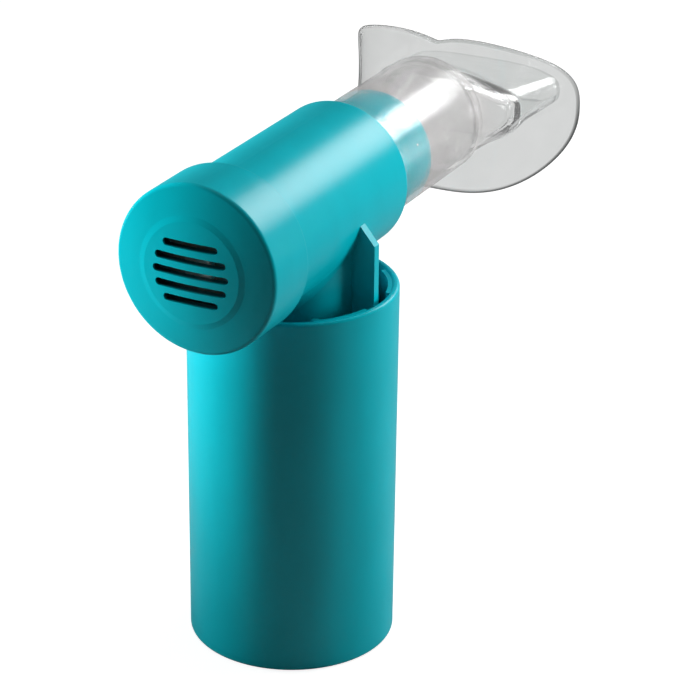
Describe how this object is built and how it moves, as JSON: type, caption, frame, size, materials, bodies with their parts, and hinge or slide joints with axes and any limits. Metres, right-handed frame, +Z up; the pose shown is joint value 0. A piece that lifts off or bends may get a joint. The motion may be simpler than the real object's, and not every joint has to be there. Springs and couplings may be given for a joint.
{
  "type": "inspiratory muscle trainer",
  "caption": "Hand-held breathing trainer: upright handle cover, cross barrel with slotted valve cap, clear flanged mouthpiece, and a spring-loaded inhale valve with an adjusting knob inside.",
  "frame": {"origin": "centre of the handle cover's flat base, on the surface it stands on", "axes": "+Z up along the handle, +X along the barrel towards the mouthpiece, +Y to the left seen from the cap"},
  "size_m": [0.1622, 0.0674, 0.1402],
  "materials": {
    "teal_plastic": "satin moulded plastic",
    "white_plastic": "moulded acetal",
    "grey_plastic": "moulded acetal",
    "red_plastic": "gloss",
    "milky_silicone": "soft satin",
    "clear_silicone": "clear, slightly milky",
    "black_rubber": "matt",
    "steel": "drawn and turned"
  },
  "bodies": {
    "handle_cover": {"handle_cover": "teal_plastic"},
    "main_body": {"body_shell": "teal_plastic", "valve_cap": "teal_plastic", "exhale_seat": "white_plastic", "flap_stud": "white_plastic", "inlet_seat": "white_plastic", "seat_o_ring": "black_rubber", "spring_cage": "white_plastic", "cage_screws": "steel", "upper_bush": "grey_plastic", "lower_bush": "grey_plastic", "spring_washer": "steel", "load_spring": "steel"},
    "mouthpiece": {"mouthpiece": "clear_silicone"},
    "exhale_flap": {"exhale_flap": "milky_silicone"},
    "inlet_valve": {"inlet_seal": "milky_silicone", "inlet_disc": "white_plastic"},
    "load_knob": {"spindle": "grey_plastic", "tension_knob": "teal_plastic", "knob_washer": "steel", "knob_screw": "steel", "valve_washer": "steel", "valve_screw": "steel"},
    "load_nut": {"adjuster_nut": "white_plastic", "load_pointer": "red_plastic"}
  },
  "joints": [
    {"name": "body_lift_out", "type": "slide", "parent": "handle_cover", "child": "main_body", "axis": [0, 0, 1], "range_m": [0, 0.095]},
    {"name": "mouthpiece_pull", "type": "slide", "parent": "main_body", "child": "mouthpiece", "axis": [1, 0, 0], "range_m": [0, 0.025]},
    {"name": "exhale_flap_open", "type": "slide", "parent": "main_body", "child": "exhale_flap", "axis": [-1, 0, 0], "range_m": [0, 0.0018], "stiffness_N_per_m": 30},
    {"name": "inlet_valve_lift", "type": "slide", "parent": "main_body", "child": "inlet_valve", "axis": [0, 0, 1], "range_m": [0, 0.005], "stiffness_N_per_m": 160, "springref_m": -0.0047, "deforming": ["load_spring"]},
    {"name": "knob_turn", "type": "hinge", "parent": "inlet_valve", "child": "load_knob", "pos_m": [0, 0, 0.01], "axis": [0, 0, 1], "range_deg": [0, 1800]},
    {"name": "nut_rise", "type": "slide", "parent": "inlet_valve", "child": "load_nut", "axis": [0, 0, 1], "range_m": [0, 0.022], "deforming": ["load_spring"]}
  ],
  "couplings": [
    {"joint": "nut_rise", "follows": "knob_turn", "m_per_rad": 0.00070028}
  ]
}
